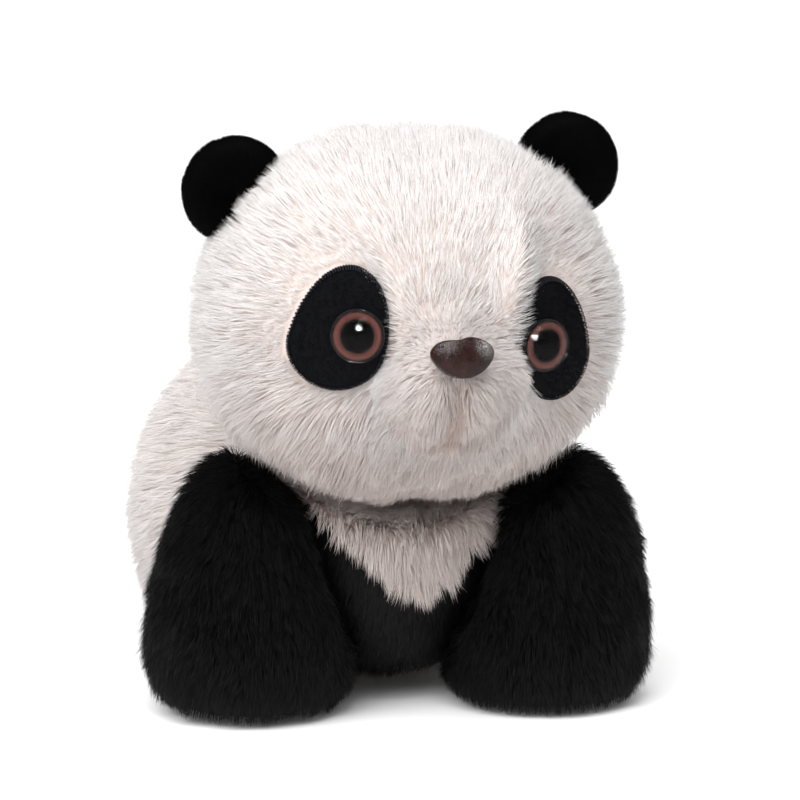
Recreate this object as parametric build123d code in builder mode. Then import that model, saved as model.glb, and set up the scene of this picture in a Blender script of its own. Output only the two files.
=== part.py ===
"""Plush panda crouching on all fours: sewn fur covers over stuffing, with moulded eyes and nose.

Millimetres, +Z up, the face looks along -Y, the soles stand on Z = 0.
"left" and "right" are the animal's own sides: left is +X.
"""
import os
from math import radians, sin, sqrt, tan

from build123d import *

os.makedirs("parts", exist_ok=True)

# ---- driving dimensions ------------------------------------------------------------------
COVER = 5.0             # fabric backing plus pressed pile
CLEAR = 0.3             # clearance between a cover and what is inside it
SIDES = {"left": 1, "right": -1}

# head: a ball widened sideways
HEAD = Vector(0, -55.5, 141.5)
HEAD_R = 60.0
HEAD_SPREAD = 12.0      # the round ends sit this far to each side of the middle
GUSSET_HALF_W = 24.0    # half width of the middle strip over the head
CHIN_Z = -8.0           # the strip changes to the chin panel this far below the head's middle

# muzzle pad on the front of the face
MUZZLE = Vector(0, -101.5, 129.5)
MUZZLE_R = 23.5

# nose
NOSE = Vector(0, -125.2, 135.0)
NOSE_TILT = 10.0        # degrees the nose looks up
NOSE_W = 21.6
NOSE_H = 12.6
NOSE_T = 5.4
NOSE_DOME_R = 17.0
NOSE_EDGE_R = 0.8
NOSE_SHANK_L = 25.0
NOSE_WASHER_R = 7.0
NOSE_WASHER_DEPTH = 21.0

# eyes: sideways and upward offsets from the head's middle, sewn slightly unevenly
EYE_SPOT = {"left": (31.0, -4.6), "right": (-31.8, 0.4)}
EYE_R = 9.0
EYE_SEAT = 2.4          # back of the eye above the head's cover
EYE_BASE_T = 1.0
EYE_DOME_H = 4.8
IRIS_R = 8.3
IRIS_T = 0.5
PUPIL_R = 5.0
PUPIL_T = 0.3
SHANK_R = 2.0
SHANK_L = 15.0
SHANK_HOLE_R = 2.4
WASHER_R = 10.0
WASHER_T = 1.5
WASHER_SET = 1.3        # washer below the inside of the cover
WASHER_HOLE_R = 2.1

# eye patches: centre offsets, half width, half height and lean to the animal's left
PATCH = {
    "left": (36.4, -3.4, 13.8, 21.2, -8.0),
    "right": (-37.2, 2.6, 14.2, 21.0, 15.0),
}
PATCH_T = 2.0
PATCH_EGG = 6.0         # how far the widest part sits below the middle

# ears: sideways and upward offsets from the head's middle
EAR_SPOT = {"left": (60.0, 50.5), "right": (-60.0, 44.0)}
EAR_BACK = 5.0
EAR_R = 17.8
EAR_HALF_T = 8.0
EAR_RIM_R = 6.5         # roundness of the rim
EAR_COVER = 2.2
EAR_GAP = 3.2           # room at the root for the ear to fold

# body: a large ball behind and a smaller chest ball in front
REAR = Vector(0, 42.0, 54.0)
REAR_R = 79.5
CHEST = Vector(0, -18.0, 58.0)
CHEST_R = 52.0
BELLY_Z = 8.0
BELLY_SEAM_Z = 24.0
BIB_LOW_Z = 44.0        # lowest point of the white bib
BIB_RISE = 40.0         # degrees the bib's edge climbs to each side

# neck: a stuffed plug between two ball-shaped seats round the head's middle
NECK_IN_R = 63.6
NECK_OUT_R = 68.2
NECK_SEAT_R = 69.5
NECK_PAD_R = 22.0
NECK_TILT = 53.0        # degrees the neck points below the horizontal, backwards

# front legs: foot's place and how far the limb leans to the animal's left; the left foot is set forward
FRONT_LEG = {"left": (49.0, -52.0, 6.0), "right": (-53.0, -41.0, 0.0)}
FRONT_LEG_H = 95.0
FRONT_SOLE_R = 25.0
FRONT_LEG_RINGS = [     # radius and height, from the sole up
    (31.0, 4.0),
    (36.0, 18.0),
    (36.2, 34.0),
    (32.4, 53.0),
    (27.2, 70.0),
    (19.6, 84.0),
    (10.0, 92.4),
]
CHEST_GAP = 2.0         # front leg to chest
HEAD_ROOM_R = 76.0      # ball round the head's middle that the front legs keep out of
REAR_GAP = 7.5          # front leg to the back half, room for its swing

# hind legs
HIND_LEG = (38.0, 92.0, 25.0)
HIND_LEG_R = 28.5
HIND_LEG_GAP = 1.4

# tail
TAIL_R = 12.5
TAIL_COVER = 4.0
TAIL_TILT = 20.0        # degrees the tail's root sits above the body's middle
TAIL_OUT = 2.0
TAIL_GAP = 4.0

HEAD_SEAM = 215.0       # turns the form's own closing line to the underside of the head
LEG_SEAM = -75.0        # turns it to the front of the leg
BIG = 400.0             # larger than the whole toy, for cutting blocks


# ---- shapes used more than once ----------------------------------------------------------
def head_form(grow):
    """The head's ball, round about the X axis, grown outwards all over."""
    radius = HEAD_R + grow
    with BuildPart() as shape:
        with BuildSketch(Plane.XY):
            with BuildLine():
                diagonal = radius * sqrt(0.5)
                ends = (HEAD_SPREAD + radius, HEAD_SPREAD + diagonal, HEAD_SPREAD)
                ThreePointArc((-ends[0], 0), (-ends[1], diagonal), (-ends[2], radius))
                Line((-ends[2], radius), (ends[2], radius))
                ThreePointArc((ends[2], radius), (ends[1], diagonal), (ends[0], 0))
                Line((ends[0], 0), (-ends[0], 0))
            make_face()
        revolve(axis=Axis.X)
    return shape.part.rotate(Axis.X, HEAD_SEAM)


def ear_form(inset):
    """Thick round pad facing -Y, domed on both faces, every wall moved in by the inset."""
    rim_middle = EAR_R - EAR_RIM_R
    half_chord = EAR_HALF_T - EAR_RIM_R
    drop = (rim_middle ** 2 - half_chord ** 2) / (2 * half_chord)
    rim = EAR_RIM_R - inset
    dome = drop + EAR_HALF_T - inset
    reach = sqrt(rim_middle ** 2 + drop ** 2)
    join = (dome * rim_middle / reach, dome * drop / reach - drop)
    half_join = sqrt((1 + drop / reach) / 2)
    middle = (dome * sqrt(1 - half_join ** 2), dome * half_join - drop)
    with BuildPart() as shape:
        with BuildSketch(Plane.XY):
            with BuildLine():
                ThreePointArc((0, dome - drop), middle, join)
                ThreePointArc(join, (rim_middle + rim, 0), (join[0], -join[1]))
                ThreePointArc((join[0], -join[1]), (middle[0], -middle[1]), (0, drop - dome))
                Line((0, drop - dome), (0, dome - drop))
            make_face()
        revolve(axis=Axis.Y)
    return shape.part


def front_leg(inset):
    """Round limb with a flat sole on Z = 0, every wall moved in by the inset."""
    low = (FRONT_SOLE_R - inset, inset)
    top = (0, FRONT_LEG_H - inset)
    squeeze = 1 - 2 * inset / FRONT_LEG_H
    rings = [(radius - inset, inset + height * squeeze) for radius, height in FRONT_LEG_RINGS]
    with BuildPart() as shape:
        with BuildSketch(Plane.XZ):
            with BuildLine():
                Spline(low, *rings, top)
                Polyline(top, (0, inset), low)
            make_face()
        revolve(axis=Axis.Z)
    return shape.part.rotate(Axis.Z, LEG_SEAM)


def egg(half_width, half_height):
    """Egg-shaped face, narrow end up."""
    with BuildSketch(Plane.XY) as shape:
        with BuildLine():
            upper = half_height + PATCH_EGG
            lower = half_height - PATCH_EGG
            EllipticalCenterArc((0, -PATCH_EGG), half_width, upper, start_angle=0, arc_size=180)
            EllipticalCenterArc((0, -PATCH_EGG), half_width, lower, start_angle=180, arc_size=180)
        make_face()
    return shape.sketch


def on_head(side_offset, up_offset):
    """Plane on the front of the head's cover, looking straight out of it."""
    spread = HEAD_SPREAD if side_offset > 0 else -HEAD_SPREAD
    across = side_offset - spread
    forward = sqrt(HEAD_R ** 2 - across ** 2 - up_offset ** 2)
    normal = Vector(across, -forward, up_offset)
    spot = HEAD + Vector(side_offset, -forward, up_offset)
    return Plane(origin=spot, x_dir=Vector(0, 0, 1).cross(normal), z_dir=normal)


def cut_below(height):
    """Remove everything below the height from the part being built."""
    with Locations((0, 0, height - BIG / 2)):
        Box(BIG, BIG, BIG, mode=Mode.SUBTRACT)


def save(builder, name):
    """Label the part and write it out."""
    builder.part.label = name
    export_step(builder.part, f"parts/{name}.step")


HEAD_OUTER = head_form(0)
EYE_PLANE = {side: on_head(*EYE_SPOT[side]) for side in SIDES}
NOSE_PLANE = Plane(origin=NOSE, x_dir=(1, 0, 0), z_dir=Vector(0, -1, 0).rotate(Axis.X, -NOSE_TILT))


# ---- head covers -------------------------------------------------------------------------
def head_cover():
    """The whole head cover before it is cut into panels."""
    with BuildPart() as shell:
        with Locations(HEAD):
            add(HEAD_OUTER)
            add(head_form(-COVER), mode=Mode.SUBTRACT)
        for plane in EYE_PLANE.values():
            with Locations(plane):
                Cylinder(SHANK_HOLE_R, 4 * COVER, mode=Mode.SUBTRACT)
        with Locations(NOSE_PLANE):
            Cylinder(SHANK_HOLE_R, 2 * NOSE_SHANK_L + 2 * CLEAR, mode=Mode.SUBTRACT)
    return shell.part


HEAD_COVER = head_cover()
STRIP_CUT = HEAD.Z + CHIN_Z

for side, sign in SIDES.items():
    with BuildPart() as head_side:
        add(HEAD_COVER)
        with Locations((sign * (GUSSET_HALF_W + BIG / 2), 0, 0)):
            Box(BIG, BIG, 2 * BIG, mode=Mode.INTERSECT)
    save(head_side, f"head_side_{side}")

with BuildPart() as head_gusset:
    add(HEAD_COVER)
    Box(2 * GUSSET_HALF_W, BIG, 2 * BIG, mode=Mode.INTERSECT)
    with Locations((0, HEAD.Y - BIG / 2, STRIP_CUT - BIG / 2)):
        Box(BIG, BIG, BIG, mode=Mode.SUBTRACT)
save(head_gusset, "head_gusset")

with BuildPart() as head_chin:
    add(HEAD_COVER)
    with Locations((0, HEAD.Y - BIG / 2, STRIP_CUT - BIG / 2)):
        Box(2 * GUSSET_HALF_W, BIG, BIG, mode=Mode.INTERSECT)
save(head_chin, "head_chin")

with BuildPart() as head_stuffing:
    with Locations(HEAD):
        add(head_form(-COVER - CLEAR))
    for plane in [*EYE_PLANE.values(), NOSE_PLANE]:
        with Locations(plane):
            Cylinder(SHANK_HOLE_R, 2 * NOSE_SHANK_L + 2 * CLEAR, mode=Mode.SUBTRACT)
    pocket = WASHER_SET + WASHER_T + CLEAR
    for plane in EYE_PLANE.values():
        with Locations(plane.offset(-COVER - pocket / 2)):
            Cylinder(WASHER_R + CLEAR, pocket, mode=Mode.SUBTRACT)
    with Locations(NOSE_PLANE.offset(-NOSE_WASHER_DEPTH - WASHER_T / 2)):
        Cylinder(NOSE_WASHER_R + CLEAR, WASHER_T + 2 * CLEAR, mode=Mode.SUBTRACT)
save(head_stuffing, "head_stuffing")

# ---- muzzle: two panels meeting in the seam below the nose, over a small pad ------------------
for side, sign in SIDES.items():
    with BuildPart() as muzzle_cover:
        with Locations(MUZZLE):
            Sphere(MUZZLE_R)
            Sphere(MUZZLE_R - COVER, mode=Mode.SUBTRACT)
        with Locations(HEAD):
            add(HEAD_OUTER, mode=Mode.SUBTRACT)
        with Locations(NOSE_PLANE):
            Cylinder(SHANK_HOLE_R, 2 * NOSE_SHANK_L + 2 * CLEAR, mode=Mode.SUBTRACT)
        split(bisect_by=Plane.YZ, keep=Keep.TOP if sign > 0 else Keep.BOTTOM)
    save(muzzle_cover, f"muzzle_{side}")

with BuildPart() as muzzle_stuffing:
    with Locations(MUZZLE):
        Sphere(MUZZLE_R - COVER)
    with Locations(HEAD):
        add(HEAD_OUTER, mode=Mode.SUBTRACT)
    with Locations(NOSE_PLANE):
        Cylinder(SHANK_HOLE_R, 2 * NOSE_SHANK_L + 2 * CLEAR, mode=Mode.SUBTRACT)
save(muzzle_stuffing, "muzzle_stuffing")

# ---- nose --------------------------------------------------------------------------------
with BuildPart() as nose:
    with BuildSketch(NOSE_PLANE):
        with BuildLine():
            half = NOSE_W / 2
            top = NOSE_H * 0.44
            Spline(
                (0, top + 0.5),
                (half * 0.62, top),
                (half, top * 0.35),
                (half * 0.72, -NOSE_H * 0.3),
                (0, -NOSE_H * 0.56),
                (-half * 0.72, -NOSE_H * 0.3),
                (-half, top * 0.35),
                (-half * 0.62, top),
                periodic=True,
            )
        make_face()
    extrude(amount=NOSE_T)
    with Locations(NOSE_PLANE.offset(NOSE_T - NOSE_DOME_R)):
        Sphere(NOSE_DOME_R, mode=Mode.INTERSECT)
    dome = faces().sort_by(lambda face: (face.center() - NOSE).dot(NOSE_PLANE.z_dir))[-1]
    fillet(dome.edges(), NOSE_EDGE_R)
    with BuildSketch(NOSE_PLANE):
        Circle(SHANK_R)
    extrude(amount=-NOSE_SHANK_L)
save(nose, "nose")

with BuildPart() as nose_washer:
    with BuildSketch(NOSE_PLANE.offset(-NOSE_WASHER_DEPTH)):
        Circle(NOSE_WASHER_R)
        Circle(WASHER_HOLE_R, mode=Mode.SUBTRACT)
    extrude(amount=-WASHER_T)
save(nose_washer, "nose_washer")

# ---- eyes: clear dome over a brown ring and a black pupil, on a black base with its shank ------
for side, plane in EYE_PLANE.items():
    seat = plane.offset(EYE_SEAT)
    front = seat.offset(EYE_BASE_T)

    with BuildPart() as eye_base:
        with BuildSketch(seat):
            Circle(EYE_R)
        extrude(amount=EYE_BASE_T)
        with BuildSketch(seat):
            Circle(SHANK_R)
        extrude(amount=-SHANK_L)
    save(eye_base, f"eye_base_{side}")

    with BuildPart() as eye_iris:
        with BuildSketch(front):
            Circle(IRIS_R)
        extrude(amount=IRIS_T)
    save(eye_iris, f"eye_iris_{side}")

    with BuildPart() as eye_pupil:
        with BuildSketch(front.offset(IRIS_T)):
            Circle(PUPIL_R)
        extrude(amount=PUPIL_T)
    save(eye_pupil, f"eye_pupil_{side}")

    dome_r = (EYE_R ** 2 + EYE_DOME_H ** 2) / (2 * EYE_DOME_H)
    with BuildPart() as eye_lens:
        with BuildSketch(front):
            Circle(EYE_R)
        extrude(amount=EYE_DOME_H)
        with Locations(front.offset(EYE_DOME_H - dome_r)):
            Sphere(dome_r, mode=Mode.INTERSECT)
        with BuildSketch(front):
            Circle(IRIS_R)
        extrude(amount=IRIS_T, mode=Mode.SUBTRACT)
        with BuildSketch(front.offset(IRIS_T)):
            Circle(PUPIL_R)
        extrude(amount=PUPIL_T, mode=Mode.SUBTRACT)
    save(eye_lens, f"eye_lens_{side}")

    with BuildPart() as eye_washer:
        with BuildSketch(plane.offset(-COVER - WASHER_SET)):
            Circle(WASHER_R)
            Circle(WASHER_HOLE_R, mode=Mode.SUBTRACT)
        extrude(amount=-WASHER_T)
    save(eye_washer, f"eye_washer_{side}")

# ---- eye patches ---------------------------------------------------------------------------
for side, (side_offset, up_offset, half_width, half_height, lean) in PATCH.items():
    spot = HEAD + Vector(side_offset, -BIG / 2, up_offset)
    face_plane = Plane(origin=spot, x_dir=(1, 0, 0), z_dir=(0, 1, 0))
    with BuildPart() as eye_patch:
        with BuildSketch(face_plane):
            add(egg(half_width, half_height), rotation=180 + lean)
        extrude(amount=BIG / 2)
        with Locations(HEAD):
            add(head_form(PATCH_T), mode=Mode.INTERSECT)
            add(HEAD_OUTER, mode=Mode.SUBTRACT)
        with Locations(MUZZLE):
            Sphere(MUZZLE_R, mode=Mode.SUBTRACT)
        with Locations(EYE_PLANE[side]):
            Cylinder(SHANK_HOLE_R, 4 * COVER, mode=Mode.SUBTRACT)
    save(eye_patch, f"eye_patch_{side}")

# ---- ears: front and back panels round a thin wadding ------------------------------------------
for side, (side_offset, up_offset) in EAR_SPOT.items():
    middle = HEAD + Vector(side_offset, EAR_BACK, up_offset)
    seam = Plane(origin=middle, x_dir=(1, 0, 0), z_dir=(0, -1, 0))

    with BuildPart() as ear_pad:
        with Locations(middle):
            add(ear_form(EAR_COVER))
        with Locations(HEAD):
            add(head_form(EAR_GAP + EAR_COVER), mode=Mode.SUBTRACT)

    for face_name, keep in {"front": Keep.TOP, "back": Keep.BOTTOM}.items():
        with BuildPart() as ear_cover:
            with Locations(middle):
                add(ear_form(0))
            with Locations(HEAD):
                add(head_form(EAR_GAP), mode=Mode.SUBTRACT)
            add(ear_pad.part, mode=Mode.SUBTRACT)
            split(bisect_by=seam, keep=keep)
        save(ear_cover, f"ear_{face_name}_{side}")

    with BuildPart() as ear_wadding:
        with Locations(middle):
            add(ear_form(EAR_COVER + CLEAR))
        with Locations(HEAD):
            add(head_form(EAR_GAP + EAR_COVER + CLEAR), mode=Mode.SUBTRACT)
    save(ear_wadding, f"ear_wadding_{side}")

# ---- neck: a stuffed pad that turns in the dish on the body -------------------------------------
NECK_PLANE = Plane(origin=HEAD, z_dir=Vector(0, 1, 0).rotate(Axis.X, -NECK_TILT))

with BuildPart() as neck_pad:
    with BuildSketch(NECK_PLANE):
        Circle(NECK_PAD_R)
    extrude(amount=NECK_SEAT_R)
    with Locations(HEAD):
        Sphere(NECK_OUT_R, mode=Mode.INTERSECT)
        Sphere(NECK_IN_R, mode=Mode.SUBTRACT)
save(neck_pad, "neck_pad")

# ---- back half of the body: two back panels, a flat belly and the stuffing ----------------------
with BuildPart() as rear_room:
    with Locations(REAR):
        Sphere(REAR_R - COVER)
    cut_below(BELLY_Z + COVER)
    with Locations(HEAD):
        Sphere(NECK_SEAT_R + COVER, mode=Mode.SUBTRACT)

with BuildPart() as rear_shell:
    with Locations(REAR):
        Sphere(REAR_R)
    cut_below(BELLY_Z)
    with Locations(HEAD):
        Sphere(NECK_SEAT_R, mode=Mode.SUBTRACT)
    add(rear_room.part, mode=Mode.SUBTRACT)

for side, sign in SIDES.items():
    with BuildPart() as back_panel:
        add(rear_shell.part)
        with Locations((sign * BIG / 2, 0, BELLY_SEAM_Z + BIG / 2)):
            Box(BIG, BIG, BIG, mode=Mode.INTERSECT)
    save(back_panel, f"body_back_{side}")

with BuildPart() as belly:
    add(rear_shell.part)
    with Locations((0, 0, BELLY_SEAM_Z - BIG / 2)):
        Box(BIG, BIG, BIG, mode=Mode.INTERSECT)
save(belly, "body_belly")

with BuildPart() as body_stuffing:
    with Locations(REAR):
        Sphere(REAR_R - COVER - CLEAR)
    cut_below(BELLY_Z + COVER + CLEAR)
    with Locations(HEAD):
        Sphere(NECK_SEAT_R + COVER + CLEAR, mode=Mode.SUBTRACT)
save(body_stuffing, "body_stuffing")

# ---- chest: white bib above a V, dark band below it ---------------------------------------------
with BuildPart() as chest_room:
    with Locations(CHEST):
        Sphere(CHEST_R - COVER)
    with Locations(HEAD):
        Sphere(NECK_SEAT_R + COVER, mode=Mode.SUBTRACT)

with BuildPart() as chest_shell:
    with Locations(CHEST):
        Sphere(CHEST_R)
    add(chest_room.part, mode=Mode.SUBTRACT)
    with Locations(HEAD):
        Sphere(NECK_SEAT_R, mode=Mode.SUBTRACT)
    with Locations(REAR):
        Sphere(REAR_R, mode=Mode.SUBTRACT)

bib_top = BIB_LOW_Z + BIG * tan(radians(BIB_RISE))

for name, mode in {"chest_bib": Mode.INTERSECT, "chest_band": Mode.SUBTRACT}.items():
    with BuildPart() as chest_panel:
        add(chest_shell.part)
        with BuildSketch(Plane.XZ):
            with BuildLine():
                Polyline((0, BIB_LOW_Z), (BIG, bib_top), (-BIG, bib_top), close=True)
            make_face()
        extrude(amount=BIG, both=True, mode=mode)
    save(chest_panel, name)

with BuildPart() as chest_stuffing:
    with Locations(CHEST):
        Sphere(CHEST_R - COVER - CLEAR)
    with Locations(HEAD):
        Sphere(NECK_SEAT_R + COVER + CLEAR, mode=Mode.SUBTRACT)
    with Locations(REAR):
        Sphere(REAR_R + CLEAR, mode=Mode.SUBTRACT)
save(chest_stuffing, "chest_stuffing")


# ---- front legs -----------------------------------------------------------------------------
def shaped_front_leg(place, inset):
    """Front limb hollowed to lie round the chest, clear of the back half and the head."""
    across, forward, lean = place
    sink = FRONT_SOLE_R * sin(radians(lean))
    with BuildPart() as limb:
        with Locations((across, forward, -sink)):
            add(front_leg(inset).rotate(Axis.Y, lean))
        cut_below(inset)
        with Locations(CHEST):
            Sphere(CHEST_R + CHEST_GAP + inset, mode=Mode.SUBTRACT)
        with Locations(REAR):
            Sphere(REAR_R + REAR_GAP + inset, mode=Mode.SUBTRACT)
        with Locations(HEAD):
            Sphere(HEAD_ROOM_R + inset, mode=Mode.SUBTRACT)
    return limb.part


for side, sign in SIDES.items():
    whole = shaped_front_leg(FRONT_LEG[side], 0)
    room = shaped_front_leg(FRONT_LEG[side], COVER)

    for face_name, outward in {"outer": sign, "inner": -sign}.items():
        with BuildPart() as leg_cover:
            add(whole)
            add(room, mode=Mode.SUBTRACT)
            with Locations((FRONT_LEG[side][0] + outward * BIG / 2, 0, COVER + BIG / 2)):
                Box(BIG, BIG, BIG, mode=Mode.INTERSECT)
        save(leg_cover, f"front_leg_{face_name}_{side}")

    with BuildPart() as leg_sole:
        add(whole)
        with Locations((0, 0, COVER / 2)):
            Box(BIG, BIG, COVER, mode=Mode.INTERSECT)
    save(leg_sole, f"front_sole_{side}")

    with BuildPart() as leg_stuffing:
        add(shaped_front_leg(FRONT_LEG[side], COVER + 2 * CLEAR))
        add(room, mode=Mode.INTERSECT)
    save(leg_stuffing, f"front_leg_stuffing_{side}")


# ---- hind legs ------------------------------------------------------------------------------
def shaped_hind_leg(side_sign, inset, bottom):
    """Hind limb lying against the back half, cut flat at the bottom."""
    with BuildPart() as limb:
        with Locations((side_sign * HIND_LEG[0], HIND_LEG[1], HIND_LEG[2])):
            Sphere(HIND_LEG_R - inset)
        cut_below(bottom)
        with Locations(REAR):
            Sphere(REAR_R + HIND_LEG_GAP + inset, mode=Mode.SUBTRACT)
    return limb.part


for side, sign in SIDES.items():
    whole = shaped_hind_leg(sign, 0, 0)

    with BuildPart() as hind_cover:
        add(shaped_hind_leg(sign, 0, COVER))
        add(shaped_hind_leg(sign, COVER, COVER), mode=Mode.SUBTRACT)
    save(hind_cover, f"hind_leg_cover_{side}")

    with BuildPart() as hind_sole:
        add(whole)
        with Locations((0, 0, COVER / 2)):
            Box(BIG, BIG, COVER, mode=Mode.INTERSECT)
    save(hind_sole, f"hind_sole_{side}")

    with BuildPart() as hind_stuffing:
        add(shaped_hind_leg(sign, COVER + CLEAR, COVER + CLEAR))
    save(hind_stuffing, f"hind_leg_stuffing_{side}")


# ---- tail -----------------------------------------------------------------------------------
def shaped_tail(inset):
    """Round tail with its root cut to follow the back half."""
    with BuildPart() as ball:
        with Locations(REAR + Vector(0, REAR_R + TAIL_OUT, 0).rotate(Axis.X, TAIL_TILT)):
            Sphere(TAIL_R - inset)
        with Locations(REAR):
            Sphere(REAR_R + TAIL_GAP + inset, mode=Mode.SUBTRACT)
    return ball.part


with BuildPart() as tail_cover:
    add(shaped_tail(0))
    add(shaped_tail(TAIL_COVER), mode=Mode.SUBTRACT)
save(tail_cover, "tail_cover")

with BuildPart() as tail_stuffing:
    add(shaped_tail(TAIL_COVER + CLEAR))
save(tail_stuffing, "tail_stuffing")
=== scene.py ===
"""Plush panda on all fours: long white and black fur sewn over stuffing, with moulded eyes and nose.

Lengths are worked in millimetres and turned into metres where a mesh is made.
"left" and "right" are the animal's own sides: left is +X. The face looks along -Y.
"""

from math import cos, pi, radians, sin, sqrt

import bmesh
import bpy
import numpy as np
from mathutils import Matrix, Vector
from mathutils.bvhtree import BVHTree


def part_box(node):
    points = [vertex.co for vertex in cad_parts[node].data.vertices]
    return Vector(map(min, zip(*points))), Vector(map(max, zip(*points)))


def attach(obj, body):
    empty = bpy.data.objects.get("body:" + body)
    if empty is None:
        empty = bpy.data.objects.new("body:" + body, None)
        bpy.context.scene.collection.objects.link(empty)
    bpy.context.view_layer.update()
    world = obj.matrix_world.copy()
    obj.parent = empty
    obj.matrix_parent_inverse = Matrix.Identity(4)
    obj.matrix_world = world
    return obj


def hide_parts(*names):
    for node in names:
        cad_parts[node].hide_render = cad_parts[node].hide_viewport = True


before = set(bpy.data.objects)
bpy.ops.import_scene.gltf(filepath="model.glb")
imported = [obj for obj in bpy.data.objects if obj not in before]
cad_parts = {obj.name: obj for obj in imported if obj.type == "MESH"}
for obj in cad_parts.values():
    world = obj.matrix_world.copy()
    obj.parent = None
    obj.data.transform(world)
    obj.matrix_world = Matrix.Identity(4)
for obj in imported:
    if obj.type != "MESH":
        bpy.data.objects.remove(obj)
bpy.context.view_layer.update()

MM = 0.001
SIDES = {"left": 1, "right": -1}
FAR = 300.0                 # starting distance of the rays that feel for the outside
SHARE = 1.0


# ---- places read from the frame ------------------------------------------------------------
def box(*nodes):
    """Lowest and highest corner of some CAD nodes together, in millimetres."""
    corners = [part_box(node) for node in nodes]
    low = np.min([np.array(pair[0]) for pair in corners], axis=0)
    high = np.max([np.array(pair[1]) for pair in corners], axis=0)
    return low / MM, high / MM


def middle(*nodes):
    low, high = box(*nodes)
    return (low + high) / 2


HEAD_NODES = ["head_side_left", "head_side_right", "head_gusset", "head_chin"]
HEAD = middle(*HEAD_NODES)
MUZZLE_NODES = ["muzzle_left", "muzzle_right"]
NOSE = middle("nose")
NOSE_HALF_W = (box("nose")[1][0] - box("nose")[0][0]) / 2
NOSE_HALF_H = 6.5
NOSE_FRONT = np.array([0.0, box("nose")[0][1], box("nose")[1][2] - NOSE_HALF_H])
HEAD_SPREAD = 12.0          # half of the straight stretch between the head's round ends
EYE_FRONT = {side: middle(f"eye_lens_{side}") for side in SIDES}
EAR_FOOT = [middle(f"ear_front_{side}") * 0.75 + HEAD * 0.25 for side in SIDES]

# eye patches: middle from the head's middle, half width, half height and lean to the animal's left
PATCH = {
    "left": (36.4, -3.4, 13.8, 21.2, -8.0),
    "right": (-36.4, 2.6, 15.0, 21.0, 15.0),
}
PATCH_EGG = 6.0             # how far the widest part sits below the middle


# ---- small vector helpers ------------------------------------------------------------------
def unit(vectors):
    return vectors / np.maximum(np.linalg.norm(vectors, axis=-1, keepdims=True), 1e-9)


def flat_on(vectors, normals):
    """The part of each vector that lies in the surface, as a unit vector."""
    return unit(vectors - (vectors * normals).sum(axis=1, keepdims=True) * normals)


def ramp(values, start, end):
    """0 before start, 1 after end, smooth between."""
    t = np.clip((values - start) / (end - start), 0, 1)
    return t * t * (3 - 2 * t)


def waves(points, size, seed, count=10):
    """Smooth uneven field from about -1 to 1, with lumps of about that size."""
    rng = np.random.default_rng(seed)
    ways = unit(rng.normal(size=(count, 3))) * rng.uniform(0.6, 1.5, (count, 1)) * 2 * pi / size
    return np.sin(points @ ways.T + rng.uniform(0, 2 * pi, count)).sum(axis=1) / sqrt(count)


# ---- skins: smooth forms felt out over the CAD covers -----------------------------------------
def ball(level):
    """Directions and triangles of an evenly divided ball."""
    made = bmesh.new()
    bmesh.ops.create_icosphere(made, subdivisions=level, radius=1.0)
    made.verts.ensure_lookup_table()
    points = np.array([v.co[:] for v in made.verts])
    faces = np.array([[v.index for v in f.verts] for f in made.faces])
    made.free()
    return unit(points), faces


def feeler(nodes):
    """Tree over the CAD nodes' surfaces in millimetres, and each face's node."""
    points, faces, owner = [], [], []
    for k, node in enumerate(nodes):
        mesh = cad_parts[node].data
        start = len(points)
        points += [v.co / MM for v in mesh.vertices]
        for face in mesh.polygons:
            faces.append([start + i for i in face.vertices])
            owner.append(k)
    return BVHTree.FromPolygons(points, faces), owner


def vertex_normals(points, faces):
    a, b, c = (points[faces[:, k]] for k in range(3))
    across = np.cross(b - a, c - a)
    total = np.zeros_like(points)
    for k in range(3):
        np.add.at(total, faces[:, k], across)
    return unit(total)


def relax(points, faces, rounds, strength=0.5):
    """Even out the surface so that creases between forms become soft."""
    every_edge = np.vstack([faces[:, [0, 1]], faces[:, [1, 2]], faces[:, [2, 0]]])
    edges = np.unique(np.sort(every_edge, axis=1), axis=0)
    near = np.bincount(edges.ravel(), minlength=len(points))[:, None]
    for _ in range(rounds):
        total = np.zeros_like(points)
        np.add.at(total, edges[:, 0], points[edges[:, 1]])
        np.add.at(total, edges[:, 1], points[edges[:, 0]])
        points = points + strength * (total / near - points)
    return points


def skin_over(nodes, centre, level, sink, rounds=4, puff=None):
    """One smooth skin over the CAD nodes, felt from outside towards the centre.

    Returns points, triangles, normals and the node that each triangle belongs to."""
    tree, owner = feeler(nodes)
    ways, faces = ball(level)
    start = Vector(centre)
    points = np.zeros_like(ways)
    owns = np.zeros(len(ways), int)
    for i, way in enumerate(ways):
        way = Vector(way)
        spot, _, face, _ = tree.ray_cast(start + way * FAR, -way)
        if spot is None:
            spot, _, face, _ = tree.find_nearest(start)
        points[i] = spot
        owns[i] = owner[face]
    points = relax(points, faces, rounds)
    normals = vertex_normals(points, faces)
    points = points - normals * sink
    if puff is not None:
        points = points + normals * puff(points)[:, None]
    normals = vertex_normals(points, faces)
    return points, faces, normals, owns[faces[:, 0]]


def panel_of(skin, index):
    """The triangles of one node's panel, with their own points."""
    points, faces, normals, owns = skin
    mine = faces[owns == index]
    used, mine = np.unique(mine, return_inverse=True)
    return points[used], mine.reshape(-1, 3), normals[used]


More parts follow.
